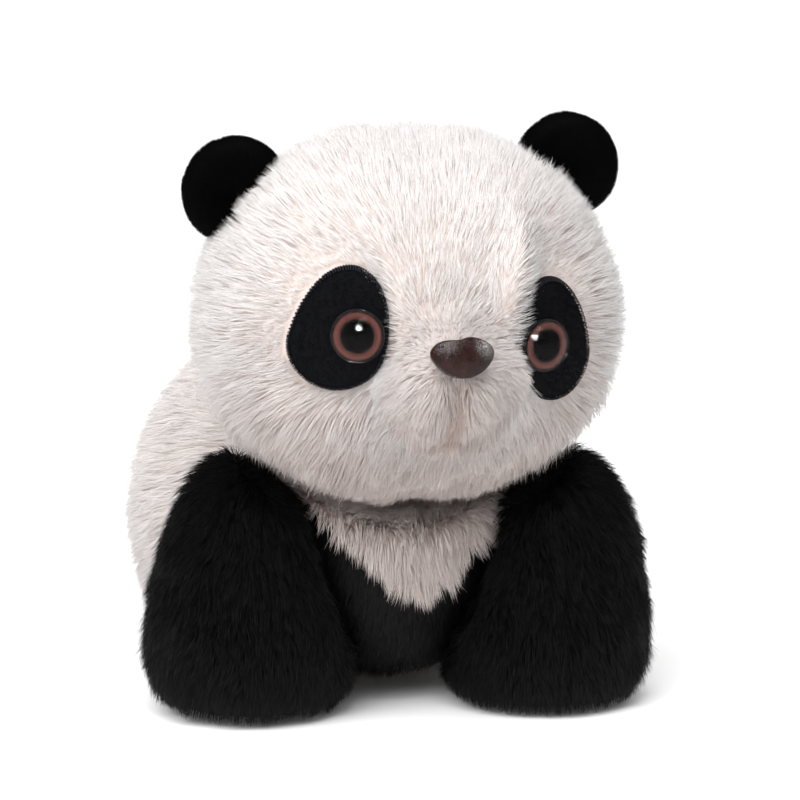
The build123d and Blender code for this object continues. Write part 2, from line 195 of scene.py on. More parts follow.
def backed(points, faces, normals, thickness):
    """Close a panel with a second layer inside it and a wall round its edge."""
    count = len(points)
    ways = np.vstack([faces[:, [0, 1]], faces[:, [1, 2]], faces[:, [2, 0]]])
    keys = {(int(a), int(b)) for a, b in ways}
    rim = np.array([(a, b) for a, b in sorted(keys) if (b, a) not in keys], int).reshape(-1, 2)
    walls = np.vstack([
        np.column_stack([rim[:, 1], rim[:, 0], rim[:, 0] + count]),
        np.column_stack([rim[:, 1], rim[:, 0] + count, rim[:, 1] + count]),
    ])
    every = np.vstack([points, points - normals * thickness])
    return every, np.vstack([faces, faces[:, ::-1] + count, walls]), np.vstack([normals, -normals])


# ---- strands ---------------------------------------------------------------------------------
def scatter(points, faces, normals, count, rng):
    """Evenly spread random roots on a panel, with the skin's normal at each."""
    a, b, c = (points[faces[:, k]] for k in range(3))
    area = np.linalg.norm(np.cross(b - a, c - a), axis=1)
    pick = rng.choice(len(faces), count, p=area / area.sum())
    u, v = rng.random((2, count))
    over = u + v > 1
    u[over], v[over] = 1 - u[over], 1 - v[over]
    w = 1 - u - v
    corners = faces[pick]
    parts = [w[:, None], u[:, None], v[:, None]]
    spots = sum(points[corners[:, k]] * parts[k] for k in range(3))
    return spots, unit(sum(normals[corners[:, k]] * parts[k] for k in range(3)))


def tufts(roots, spacing, rng):
    """The number of the tuft that each root belongs to."""
    count = max(4, int(len(roots) / spacing))
    centres = roots[rng.choice(len(roots), count, replace=False)].astype(np.float32)
    nearest = np.zeros(len(roots), int)
    square = (centres ** 2).sum(axis=1)
    for start in range(0, len(roots), 4000):
        rows = roots[start:start + 4000].astype(np.float32)
        nearest[start:start + 4000] = (square - 2 * rows @ centres.T).argmin(axis=1)
    return nearest, count


def gather(values, group, count):
    """Mean of the values in each group, given back for each row."""
    total = np.zeros((count, values.shape[1]))
    np.add.at(total, group, values)
    number = np.maximum(np.bincount(group, minlength=count), 1)[:, None]
    return (total / number)[group]


def grow(roots, normals, lay, length, rise, width, rng, tuft=12, pull=0.4, sway=0.16, spike=False):
    """Closed tapered strands: points (strand, ring point, 3) and the way each point faces.

    Lay is the way the strands are combed, rise their angle off the skin in degrees; pull draws the
    tips of each tuft together, and sway is how far single strands leave the lay."""
    count = len(roots)
    lay = flat_on(lay + sway * rng.normal(size=(count, 3)), normals)
    first = np.radians(np.clip(rise + 16 + 7 * rng.normal(size=count), 4, 88))[:, None]
    second = np.radians(np.clip(rise - 12 + 9 * rng.normal(size=count), -6, 86))[:, None]
    half = length[:, None] / 2
    mid = roots + half * (normals * np.sin(first) + lay * np.cos(first))
    tip = mid + half * (normals * np.sin(second) + lay * np.cos(second))
    if pull > 0:
        group, groups = tufts(roots, tuft, rng)
        amount = pull * rng.uniform(0.5, 1.2, (count, 1))
        tip += amount * (gather(tip, group, groups) - tip)
        mid += 0.35 * amount * (gather(mid, group, groups) - mid)
    side = unit(np.cross(lay, normals))
    over = unit(np.cross(mid - roots, side))
    turn = rng.uniform(0, 2 * pi, count)
    rings = [(roots, 1.0)] if spike else [(roots, 1.0), (mid, 0.78)]
    made, facing = [], []
    for spot, thick in rings:
        for k in range(3):
            angle = (turn + k * 2 * pi / 3)[:, None]
            out = np.cos(angle) * side + np.sin(angle) * over
            made.append(spot + out * (width * thick / 2)[:, None])
            facing.append(out)
    made.append(tip)
    facing.append(unit(tip - mid) if not spike else normals)
    return np.stack(made, axis=1), np.stack(facing, axis=1)


TUBE_FACES = np.array([
    [0, 2, 1],
    [0, 1, 4], [0, 4, 3], [1, 2, 5], [1, 5, 4], [2, 0, 3], [2, 3, 5],
    [3, 4, 6], [4, 5, 6], [5, 3, 6],
])
TUBE_HEIGHTS = [0.04, 0.04, 0.04, 0.5, 0.5, 0.5, 0.96]
SPIKE_FACES = np.array([[0, 2, 1], [0, 1, 3], [1, 2, 3], [2, 0, 3]])
SPIKE_HEIGHTS = [0.05, 0.05, 0.05, 0.95]


def make_mesh(name, points, faces, normals, across, along):
    """Mesh object in metres with its own shading normals and its colour map."""
    mesh = bpy.data.meshes.new(name)
    mesh.vertices.add(len(points))
    mesh.vertices.foreach_set("co", (points * MM).astype(np.float32).ravel())
    mesh.loops.add(faces.size)
    mesh.loops.foreach_set("vertex_index", faces.astype(np.int32).ravel())
    mesh.polygons.add(len(faces))
    mesh.polygons.foreach_set("loop_start", np.arange(0, faces.size, 3, dtype=np.int32))
    mesh.polygons.foreach_set("use_smooth", np.ones(len(faces), bool))
    mesh.update(calc_edges=True)
    mesh.validate()
    layer = mesh.uv_layers.new(name="OFBake")
    corner = faces.ravel()
    layer.data.foreach_set("uv", np.column_stack([across[corner], along[corner]]).astype(np.float32).ravel())
    mesh.normals_split_custom_set_from_vertices(unit(normals).astype(np.float32))
    thing = bpy.data.objects.new(name, mesh)
    bpy.context.scene.collection.objects.link(thing)
    return thing


def finish_piece(thing, body, material, nodes):
    """Give a piece its material and the body it rides on, and hide the CAD nodes it stands for."""
    thing.data.materials.append(material)
    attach(thing, body)
    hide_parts(*nodes)
    return thing


def strand_set(style, panel, rng, spike, share):
    """Roots, points, facings and map values of one kind of strand on a panel."""
    points, faces, normals = panel
    count = int(style["count"] * share * SHARE)
    roots, up = scatter(points, faces, normals, count, rng)
    chance, cut = style["keep"](roots)
    kept = rng.random(count) < chance
    roots, up, cut = roots[kept], up[kept], cut[kept]
    count = len(roots)
    loose = rng.random(count) < style.get("loose", 0.03)
    length = style["length"](roots) * rng.uniform(0.72, 1.1, count) * cut
    length *= (1 + 0.10 * waves(roots, 14, 5)) * np.where(loose, 1.12, 1)
    rise = style["rise"](roots) + 5 * waves(roots, 11, 9) + np.where(loose, 14, 0)
    lay = style["lay"](roots, up) + 0.20 * np.column_stack([waves(roots, 17, s) for s in (11, 12, 13)])
    width = style["width"] * rng.uniform(0.75, 1.2, count) * 1
    strands, facing = grow(
        roots, up, lay, length * (0.92 if spike else 1), rise + (4 if spike else 0), width, rng,
        tuft=style.get("tuft", 12), pull=style.get("pull", 0.4), sway=style.get("sway", 0.16), spike=spike,
    )
    ring = strands.shape[1]
    soft = style.get("soft", 0.6)
    shading = facing * (1 - soft) + up[:, None, :] * soft
    shade = np.clip(style["shade"](roots) + 0.09 * rng.normal(size=count), 0.03, 0.97)
    across = np.repeat(shade[:, None], ring, axis=1) + np.linspace(-0.006, 0.006, ring)
    along = np.repeat(np.array(SPIKE_HEIGHTS if spike else TUBE_HEIGHTS)[None, :], count, axis=0)
    links = SPIKE_FACES if spike else TUBE_FACES
    strand_faces = (links[None, :, :] + (np.arange(count) * ring)[:, None, None]).reshape(-1, 3)
    return strands.reshape(-1, 3), strand_faces, shading.reshape(-1, 3), across.ravel(), along.ravel()


def fur_piece(name, node, body, panel, style, material, slot):
    """One sewn panel: its backing cloth and all the fur rooted in it, as one mesh."""
    rng = np.random.default_rng(sum(ord(letter) * (k + 3) for k, letter in enumerate(name)))
    points, faces, normals = panel
    cloth, cloth_faces, cloth_normals = backed(points, faces, normals, 1.2)
    # the backing cloth takes the panel's shade values and sits at the root end of the colour map, so it
    # carries the painted shade too
    cloth_shade = np.clip(style["shade"](cloth) + 0.05 * waves(cloth, 3, 21), 0.03, 0.97)
    cloth_along = 0.02 + 0.015 * waves(cloth, 2.5, 22) ** 2
    parts = [(cloth, cloth_faces, cloth_normals, cloth_shade, cloth_along)]
    if style.get("curved", 0.36) > 0:
        parts.append(strand_set(style, panel, rng, False, style.get("curved", 0.36)))
    parts.append(strand_set(style, panel, rng, True, 1 - style.get("curved", 0.36)))
    thing = join_parts(name, parts, floor=True)
    return finish_piece(thing, body, material, [node])


def join_parts(name, parts, floor=False):
    """One mesh object out of several sets of points, faces, normals and map values."""
    shift, faces = 0, []
    for part in parts:
        faces.append(part[1] + shift)
        shift += len(part[0])
    points, normals = np.vstack([p[0] for p in parts]), np.vstack([p[2] for p in parts])
    if floor:       # fur under the soles is pressed flat
        points[:, 2] = np.maximum(points[:, 2], 0.2 + 0.03 * (np.arange(len(points)) % 7))
    across = np.concatenate([p[3] for p in parts])
    along = np.clip(np.concatenate([p[4] for p in parts]), 0.005, 0.995)
    return make_mesh(name, points, np.vstack(faces), normals, across, along)


# ---- materials ---------------------------------------------------------------------------------
def shader(name):
    """New node material; returns it with its nodes, links and main shader."""
    made = bpy.data.materials.new(name)
    made.use_nodes = True
    tree = made.node_tree
    return made, tree.nodes, tree.links, tree.nodes["Principled BSDF"]


def stops(node, colours):
    """Set a colour ramp's stops from (place, colour) pairs."""
    marks = node.color_ramp.elements
    while len(marks) < len(colours):
        marks.new(0.5)
    for mark, (place, colour) in zip(marks, colours):
        mark.position = place
        mark.color = (*colour, 1)


def fur_material(name, root_shade, dark, light, rough, sheen, glow, level):
    """Fur: colour runs from painted shade at the roots to the tips and changes a little from strand to
    strand.
    """
    made, nodes, links, main = shader(name)
    place = nodes.new("ShaderNodeUVMap")
    place.uv_map = "OFBake"
    split = nodes.new("ShaderNodeSeparateXYZ")
    links.new(place.outputs["UV"], split.inputs[0])
    tone = nodes.new("ShaderNodeValToRGB")
    stops(tone, [(0.0, dark), (1.0, light)])
    links.new(split.outputs["X"], tone.inputs["Fac"])
    speck = nodes.new("ShaderNodeTexNoise")
    speck.inputs["Scale"].default_value = 90.0
    speck.inputs["Detail"].default_value = 3.0
    links.new(place.outputs["UV"], speck.inputs["Vector"])
    # painted shade: each strand darkens towards its root, where little light reaches
    depth = nodes.new("ShaderNodeValToRGB")
    stops(depth, [(0.0, root_shade), (0.55, (1, 1, 1))])
    links.new(split.outputs["Y"], depth.inputs["Fac"])
    grain = nodes.new("ShaderNodeValToRGB")
    stops(grain, [(0.3, (0.9, 0.9, 0.9)), (0.7, (1.06, 1.06, 1.06))])
    links.new(speck.outputs["Fac"], grain.inputs["Fac"])
    first = nodes.new("ShaderNodeMix")
    first.data_type = "RGBA"
    first.blend_type = "MULTIPLY"
    first.inputs["Factor"].default_value = 1.0
    links.new(tone.outputs["Color"], first.inputs[6])
    links.new(depth.outputs["Color"], first.inputs[7])
    second = nodes.new("ShaderNodeMix")
    second.data_type = "RGBA"
    second.blend_type = "MULTIPLY"
    second.inputs["Factor"].default_value = 1.0
    links.new(first.outputs[2], second.inputs[6])
    links.new(grain.outputs["Color"], second.inputs[7])
    links.new(second.outputs[2], main.inputs["Base Color"])
    main.inputs["Roughness"].default_value = rough
    main.inputs["Specular IOR Level"].default_value = level
    main.inputs["Sheen Weight"].default_value = sheen
    main.inputs["Sheen Roughness"].default_value = 0.4
    if glow > 0:
        through = nodes.new("ShaderNodeBsdfTranslucent")
        links.new(second.outputs[2], through.inputs["Color"])
        both = nodes.new("ShaderNodeMixShader")
        both.inputs["Fac"].default_value = glow
        links.new(main.outputs[0], both.inputs[1])
        links.new(through.outputs[0], both.inputs[2])
        links.new(both.outputs[0], nodes["Material Output"].inputs["Surface"])
    return made


# the first colour darkens the roots, painted shade; for the white fur the dark end of the tone is also the
# colour of the painted shade under the chin, in the parting and on the bib
WHITE_FUR = fur_material(
    "white_fur", (0.88, 0.80, 0.76), (0.78, 0.62, 0.56), (0.995, 0.98, 0.972), 0.65, 0.1, 0.42, 0.2)
BLACK_FUR = fur_material(
    "black_fur", (0.3, 0.3, 0.3), (0.0009, 0.0008, 0.0010), (0.0040, 0.0036, 0.0042), 0.40, 0.0, 0.0, 0.14)
BLACK_NAP = fur_material(
    "black_nap", (0.4, 0.4, 0.4), (0.0008, 0.0008, 0.0010), (0.0026, 0.0025, 0.0030), 0.6, 0.0, 0.0, 0.05)
PATCH_NAP = fur_material(
    "patch_nap", (0.4, 0.4, 0.4), (0.0008, 0.0009, 0.0012), (0.0190, 0.0198, 0.0240), 0.65, 0.0, 0.0, 0.06)


def object_place(nodes, links, spot, scale):
    """Coordinates on the piece itself, measured in millimetres from a spot."""
    place = nodes.new("ShaderNodeTexCoord")
    move = nodes.new("ShaderNodeVectorMath")
    move.operation = "SUBTRACT"
    move.inputs[1].default_value = tuple(c * MM for c in spot)
    links.new(place.outputs["Object"], move.inputs[0])
    size = nodes.new("ShaderNodeVectorMath")
    size.operation = "SCALE"
    size.inputs["Scale"].default_value = scale / MM
    links.new(move.outputs[0], size.inputs[0])
    return size.outputs[0]


def plastic(name, colour, rough, bump_size, bump, level=0.5):
    """Moulded plastic with a fine uneven surface."""
    made, nodes, links, main = shader(name)
    place = object_place(nodes, links, (0, 0, 0), 1.0)
    noise = nodes.new("ShaderNodeTexNoise")
    noise.inputs["Scale"].default_value = 1 / bump_size
    noise.inputs["Detail"].default_value = 4.0
    links.new(place, noise.inputs["Vector"])
    tone = nodes.new("ShaderNodeValToRGB")
    stops(tone, [(0.3, [c * 0.8 for c in colour]), (0.7, [c * 1.2 for c in colour])])
    links.new(noise.outputs["Fac"], tone.inputs["Fac"])
    links.new(tone.outputs["Color"], main.inputs["Base Color"])
    raised = nodes.new("ShaderNodeBump")
    raised.inputs["Strength"].default_value = bump
    raised.inputs["Distance"].default_value = 0.0002
    links.new(noise.outputs["Fac"], raised.inputs["Height"])
    links.new(raised.outputs[0], main.inputs["Normal"])
    main.inputs["Roughness"].default_value = rough
    main.inputs["Specular IOR Level"].default_value = level
    return made


def nose_material():
    """Dark brown soft-touch plastic with a pebbled skin."""
    made, nodes, links, main = shader("nose_brown")
    place = object_place(nodes, links, NOSE, 1.0)
    pebble = nodes.new("ShaderNodeTexVoronoi")
    pebble.feature = "SMOOTH_F1"
    pebble.inputs["Scale"].default_value = 2.3
    pebble.inputs["Smoothness"].default_value = 0.6
    links.new(place, pebble.inputs["Vector"])
    patchy = nodes.new("ShaderNodeTexNoise")
    patchy.inputs["Scale"].default_value = 0.35
    patchy.inputs["Detail"].default_value = 5.0
    links.new(place, patchy.inputs["Vector"])
    tone = nodes.new("ShaderNodeValToRGB")
    stops(tone, [(0.3, (0.008, 0.0026, 0.0022)), (0.75, (0.024, 0.0085, 0.0070))])
    links.new(patchy.outputs["Fac"], tone.inputs["Fac"])
    links.new(tone.outputs["Color"], main.inputs["Base Color"])
    raised = nodes.new("ShaderNodeBump")
    raised.inputs["Strength"].default_value = 0.8
    raised.inputs["Distance"].default_value = 0.00013
    raised.invert = True
    links.new(pebble.outputs["Distance"], raised.inputs["Height"])
    links.new(raised.outputs[0], main.inputs["Normal"])
    main.inputs["Roughness"].default_value = 0.24
    main.inputs["Specular IOR Level"].default_value = 0.22
    return made


def iris_material(side):
    """Reddish brown ring with fine rays, darker at the rim and round the pupil."""
    made, nodes, links, main = shader(f"iris_brown_{side}")
    low, high = box(f"eye_pupil_{side}")
    place = object_place(nodes, links, (low + high) / 2, 1.0)
    far = nodes.new("ShaderNodeVectorMath")
    far.operation = "LENGTH"
    links.new(place, far.inputs[0])
    reach = nodes.new("ShaderNodeMapRange")
    reach.inputs["From Min"].default_value = 4.4
    reach.inputs["From Max"].default_value = 8.4
    links.new(far.outputs["Value"], reach.inputs["Value"])
    ring = nodes.new("ShaderNodeValToRGB")
    stops(ring, [(0.29, (0.002, 0.001, 0.001)), (0.40, (0.070, 0.024, 0.019)), (0.70, (0.140, 0.048, 0.038))])
    for spot, colour in ((0.84, (0.095, 0.032, 0.026)), (0.95, (0.004, 0.002, 0.002))):
        mark = ring.color_ramp.elements.new(spot)
        mark.color = (*colour, 1)
    links.new(reach.outputs[0], ring.inputs["Fac"])
    rays = nodes.new("ShaderNodeTexNoise")
    rays.inputs["Scale"].default_value = 1.1
    rays.inputs["Detail"].default_value = 6.0
    rays.inputs["Distortion"].default_value = 0.6
    links.new(place, rays.inputs["Vector"])
    mixed = nodes.new("ShaderNodeMix")
    mixed.data_type = "RGBA"
    mixed.blend_type = "MULTIPLY"
    mixed.inputs["Factor"].default_value = 0.55
    links.new(ring.outputs["Color"], mixed.inputs[6])
    grade = nodes.new("ShaderNodeValToRGB")
    stops(grade, [(0.3, (0.45, 0.4, 0.4)), (0.7, (1.3, 1.25, 1.2))])
    links.new(rays.outputs["Fac"], grade.inputs["Fac"])
    links.new(grade.outputs["Color"], mixed.inputs[7])
    links.new(mixed.outputs[2], main.inputs["Base Color"])
    main.inputs["Roughness"].default_value = 0.5
    main.inputs["Specular IOR Level"].default_value = 0.15
    return made


def clear_material():
    """Polished clear plastic."""
    made, nodes, links, main = shader("clear_plastic")
    place = object_place(nodes, links, (0, 0, 0), 1.0)
    noise = nodes.new("ShaderNodeTexNoise")
    noise.inputs["Scale"].default_value = 0.25
    noise.inputs["Detail"].default_value = 2.0
    links.new(place, noise.inputs["Vector"])
    raised = nodes.new("ShaderNodeBump")
    raised.inputs["Strength"].default_value = 0.02
    raised.inputs["Distance"].default_value = 0.0001
    links.new(noise.outputs["Fac"], raised.inputs["Height"])
    links.new(raised.outputs[0], main.inputs["Normal"])
    main.inputs["Base Color"].default_value = (0, 0, 0, 1)
    main.inputs["Roughness"].default_value = 0.05
    main.inputs["Alpha"].default_value = 0.1       # nearly all see-through: only its highlights show
    return made


def wool_material(name, dark, light):
    """Matted fibre filling."""
    made, nodes, links, main = shader(name)
    place = object_place(nodes, links, (0, 0, 0), 1.0)
    noise = nodes.new("ShaderNodeTexNoise")
    noise.inputs["Scale"].default_value = 0.5
    noise.inputs["Detail"].default_value = 8.0
    noise.inputs["Distortion"].default_value = 2.0
    links.new(place, noise.inputs["Vector"])
    tone = nodes.new("ShaderNodeValToRGB")
    stops(tone, [(0.3, dark), (0.7, light)])
    links.new(noise.outputs["Fac"], tone.inputs["Fac"])
    links.new(tone.outputs["Color"], main.inputs["Base Color"])
    raised = nodes.new("ShaderNodeBump")
    raised.inputs["Strength"].default_value = 0.8
    raised.inputs["Distance"].default_value = 0.001
    links.new(noise.outputs["Fac"], raised.inputs["Height"])
    links.new(raised.outputs[0], main.inputs["Normal"])
    main.inputs["Roughness"].default_value = 0.95
    main.inputs["Sheen Weight"].default_value = 0.3
    return made


# ---- how the fur lies ------------------------------------------------------------------------
def everywhere(roots):
    return np.ones(len(roots)), np.ones(len(roots))


def constant(value):
    return lambda roots: np.full(len(roots), float(value))


def toward(*way):
    """Fur combed one way all over a panel."""
    return lambda roots, up: flat_on(np.tile(np.array(way, float), (len(roots), 1)), up)


def patch_reach(side, spots):
    """How far spots are out from a patch's middle, seen from the front: 1 on its edge."""
    across_at, up_at, half_w, half_h, lean = PATCH[side]
    lean = radians(lean)
    dx, dz = spots[:, 0] - HEAD[0] - across_at, spots[:, 2] - HEAD[2] - up_at
    across = dx * cos(lean) - dz * sin(lean)
    rise = dx * sin(lean) + dz * cos(lean) + PATCH_EGG
    tall = np.where(rise > 0, half_h + PATCH_EGG, half_h - PATCH_EGG)
    reach = np.hypot(across / half_w, rise / tall)
    return np.where(spots[:, 1] > HEAD[1] - 10, 9.0, reach)


def patch_gap(side, spots):
    """About how far outside the patch's edge spots are, in millimetres."""
    return (patch_reach(side, spots) - 1) * (PATCH[side][2] + PATCH[side][3]) / 2


def nose_reach(spots):
    """How far spots are out from the nose's middle: 1 on its outline."""
    offset = spots - NOSE_FRONT
    reach = np.hypot(offset[:, 0] / NOSE_HALF_W, offset[:, 2] / NOSE_HALF_H)
    return np.where(spots[:, 1] < MUZZLE_FRONT + 12, reach, 9.0)


def ear_near(spots):
    """1 at the foot of an ear, fading out a few centimetres away."""
    return np.max([np.exp(-((np.linalg.norm(spots - foot, axis=1) / 22) ** 2)) for foot in EAR_FOOT], axis=0)


def face_keep(roots):
    """No fur under the patches and the nose, and shorter fur at their edges."""
    chance = np.ones(len(roots))
    cut = np.ones(len(roots))
    for side in SIDES:
        gap = patch_gap(side, roots)
        offset = (roots[:, 0] - HEAD[0]) * SIDES[side] - abs(PATCH[side][0])
        below = HEAD[2] + PATCH[side][1] - roots[:, 2]
        lapping = np.maximum(ramp(-offset, 2, 12), 0.7 * ramp(below, 8, 17))   # fur that lies over the edge
        chance *= gap > 0.1 - 1.6 * lapping
        cut *= 0.40 + 0.34 * lapping + (0.60 - 0.34 * lapping) * ramp(gap, 0.0, 11.0)
    from_nose = nose_reach(roots)
    chance *= from_nose > 0.45
    cut *= 0.32 + 0.68 * ramp(from_nose, 0.8, 2.4)
    return chance, cut


MUZZLE_FRONT = box(*MUZZLE_NODES)[0][1]


def face_lay(roots, up):
    """Combed away from the nose, falling on the cheeks and chin, and down behind the head."""
    offset = roots - (NOSE_FRONT + np.array([0, 6.0, 0]))
    away = flat_on(offset, up)
    low = ramp(-offset[:, 2], -6, 30)[:, None]
    fall = flat_on(np.tile([0, 0, -1.0], (len(roots), 1)), up)
    back = ramp(roots[:, 1], HEAD[1] - 5, HEAD[1] + 40)[:, None]
    return unit(away * (1 - 0.45 * low) * (1 - back) + fall * (0.5 * low + 1.1 * back))


def parting_at(spots, width):
    """1 along the middle of the muzzle below the nose."""
    parting = np.exp(-((spots[:, 0] / width) ** 2)) * ramp(NOSE_FRONT[2] - 6 - spots[:, 2], 0, 5)
    return parting * (spots[:, 1] < MUZZLE_FRONT + 18)


def face_length(roots):
    """Longer on the cheeks and chin, shorter on the brow and round the nose."""
    below = ramp(HEAD[2] - roots[:, 2], -20, 38)
    near_nose = np.exp(-((np.linalg.norm(roots - NOSE_FRONT, axis=1) / 24) ** 2))
    return (9.4 + 4.4 * below - 2.2 * near_nose) * (1 - 0.15 * ear_near(roots))


def face_rise(roots):
    near_nose = np.exp(-((np.linalg.norm(roots - NOSE_FRONT, axis=1) / 26) ** 2))
    below = ramp(HEAD[2] - roots[:, 2], -20, 38)
    return 43 - 14 * below + 8 * near_nose


def face_shade(roots):
    """Painted shade: slightly warmer and darker towards the chin and in the parting."""
    return 0.93 - 0.52 * ramp(HEAD[2] - roots[:, 2], 2, 54) - 0.55 * parting_at(roots, 3.4)


# painted shade: the muzzle's fur a little darker and warmer than the rest of the face
def muzzle_shade(roots):
    return face_shade(roots) - 0.22


def head_puff(points):
    """The head's own outline: high crown, full cheeks, sunk patches, a parting under the nose."""
    offset = points - HEAD
    crown = ramp(offset[:, 2], -5, 42)
    low = np.exp(-(((offset[:, 2] + 18) / 26) ** 2))
    wide = ramp(np.abs(offset[:, 0]), 30, 66)
    swell = 1.6 + 3.3 * crown * (1 - 0.6 * wide) + 1.3 * low * wide
    swell *= 1 - 0.45 * ear_near(points)
    for side in SIDES:
        inner = ramp(abs(PATCH[side][0]) - offset[:, 0] * SIDES[side], 4, 14)
        swell *= ramp(patch_gap(side, points), -1.0, 12.0 - 6.0 * inner)
    swell *= ramp(nose_reach(points), 0.8, 1.8)
    beside = np.exp(-(((patch_gap("left", points) - 6) / 6) ** 2))     # brow bulging beside the left patch
    bridge = ramp(PATCH["left"][0] - offset[:, 0], 8, 15) * beside
    bridge *= 2.4 + 3.2 * ramp(offset[:, 2], -4, 12)
    return swell + bridge - 3.0 * parting_at(points, 3.4) + 0.5 * waves(points, 40, 31)


BASE = {"keep": everywhere, "rise": constant(32), "shade": constant(0.78), "soft": 0.72}
FACE = {
    **BASE, "count": 29000, "width": 0.265, "length": face_length, "rise": face_rise, "curved": 0.3,
    "lay": face_lay, "keep": face_keep, "shade": face_shade, "tuft": 18, "pull": 0.40, "soft": 0.86,
    "loose": 0.015,
}


def add_fur(names, centre, level, sink, body, style, material, slot, rounds, puff=None, per_node=None):
    """Cover a group of CAD nodes with one skin and grow each node's own panel of fur."""
    skin = skin_over(names, centre, level, sink, rounds, puff)
    for index, node in enumerate(names):
        panel = panel_of(skin, index)
        if len(panel[1]) < 4:
            raise RuntimeError(f"{node} shows no surface")
        own = {**style, **(per_node or {}).get(node, {})}
        look = own.get("look", (material, slot))
        fur_piece(f"fur_{node}", node, body, panel, own, *look)


# head and muzzle share one skin, so the muzzle swells softly out of the face
add_fur(
    HEAD_NODES + MUZZLE_NODES, HEAD, 7, 3.0, "head", FACE, WHITE_FUR, "white_fur",
    rounds=30, puff=head_puff,
    per_node={
        "muzzle_left": {"count": 8500, "tuft": 30, "pull": 0.55, "shade": muzzle_shade},
        "muzzle_right": {"count": 8500, "tuft": 30, "pull": 0.55, "shade": muzzle_shade},
        "head_chin": {"count": 30000, "pull": 0.8, "tuft": 60, "soft": 0.75},
        "head_gusset": {"pull": 0.24, "tuft": 10, "sway": 0.14, "width": 0.245},
    },
)

# body: white back and belly, white bib and black band on the chest
BODY_NODES = ["body_back_left", "body_back_right", "body_belly", "chest_bib", "chest_band"]
LONG = {**BASE, "length": constant(12.0), "width": 0.30, "tuft": 18, "pull": 0.45, "count": 27000}
add_fur(
    BODY_NODES, np.array([0, 14.0, 58.0]), 6, 3.0, "body",
    {**LONG, "lay": toward(0, 0.55, -0.8)}, WHITE_FUR, "white_fur", rounds=4,
    per_node={
        "body_back_left": {"lay": toward(0.15, 0.75, -0.55), "count": 28500},
        "body_back_right": {"lay": toward(-0.15, 0.75, -0.55), "count": 28500},
        "body_belly": {"lay": toward(0, 0.9, -0.1), "length": constant(8.0), "count": 12000},
        # the bib's darker, warmer tone is painted shade under the head
        "chest_bib": {"lay": toward(0, 0.1, -1.0), "count": 24000, "length": constant(13.0), "pull": 0.6,
                      "shade": constant(0.42), "rise": constant(34)},
        "chest_band": {"lay": toward(0, 0.2, -1.0), "count": 16000, "length": constant(9.0),
                       "look": (BLACK_FUR, "black_fur")},
    },
)


def leg_length(roots):
    return 11.5 - 4.5 * ramp(20 - roots[:, 2], 0, 18)


def leg_lay(sign, centre):
    """Down the limb, fanning out a little from its middle."""
    def lay(roots, up):
        out = roots - centre
        out[:, 2] = 0
        return flat_on(unit(out) * 0.25 + np.array([0.1 * sign, 0, -1.0]), up)
    return lay


def leg_rise(roots):
    return 30 - 16 * ramp(16 - roots[:, 2], 0, 14)


for side, sign in SIDES.items():
    # front leg
    names = [f"front_leg_outer_{side}", f"front_leg_inner_{side}", f"front_sole_{side}"]
    centre = middle(*names)
    centre[2] = 38.0
    style = {
        **LONG, "length": leg_length, "lay": leg_lay(sign, centre), "rise": leg_rise, "count": 26000,
        "shade": constant(0.5), "soft": 0.45, "pull": 0.5,
    }
    add_fur(
        names, centre, 6, 3.2, f"front_leg_{side}", style, BLACK_FUR, "black_fur", rounds=6,
        per_node={f"front_sole_{side}": {"count": 5000, "length": constant(3.0), "rise": constant(8)}},
    )
    # hind leg
    names = [f"hind_leg_cover_{side}", f"hind_sole_{side}"]
    centre = middle(*names)
    add_fur(
        names, centre, 6, 3.0, f"hind_leg_{side}",
        {**style, "lay": leg_lay(sign, centre), "count": 20000}, BLACK_FUR, "black_fur", rounds=4,
        per_node={f"hind_sole_{side}": {"count": 2500, "length": constant(3.0), "rise": constant(8)}},
    )
    # ear: short velvet on both faces
    names = [f"ear_front_{side}", f"ear_back_{side}"]
    centre = middle(*names)

    def ear_lay(roots, up, centre=centre):
        return flat_on(roots - centre + np.array([0, 0, 4.0]), up)

    nap = {
        **BASE, "count": 30000, "length": constant(2.6), "width": 0.26, "rise": constant(52), "lay": ear_lay,
        "curved": 0, "tuft": 8, "pull": 0.2, "shade": constant(0.45), "soft": 0.5,
    }
    add_fur(names, centre, 6, 0.6, f"ear_{side}", nap, BLACK_NAP, "black_nap", rounds=3)

# tail
add_fur(
    ["tail_cover"], middle("tail_cover"), 5, 2.6, "tail",
    {**LONG, "lay": toward(0, 0.5, -0.9), "count": 12000, "length": constant(9.0), "shade": constant(0.5)},
    BLACK_FUR, "black_fur", rounds=2,
)


# ---- eye patches: short nap on a padded shape, with a stitched edge ---------------------------------
PATCH_COUNT = 16000
PATCH_LIFT = 2.2            # padded height over the head's cover
NAP_LENGTH = (0.8, 1.5)
NAP_RISE = 56.0
NAP_WIDTH = 0.17
EYE_CLEAR = 9.2             # no nap nearer to the eye's middle than this
STITCHES = 120
THREAD_R = 0.21
STITCH_PATH = [             # share of the way to the edge, slant and height of one loop of thread
    (0.925, -0.006, 2.0),
    (0.950, -0.003, 2.1),
    (0.972, 0.0, 1.8),
    (0.988, 0.003, 1.2),
    (0.996, 0.006, 0.1),
]


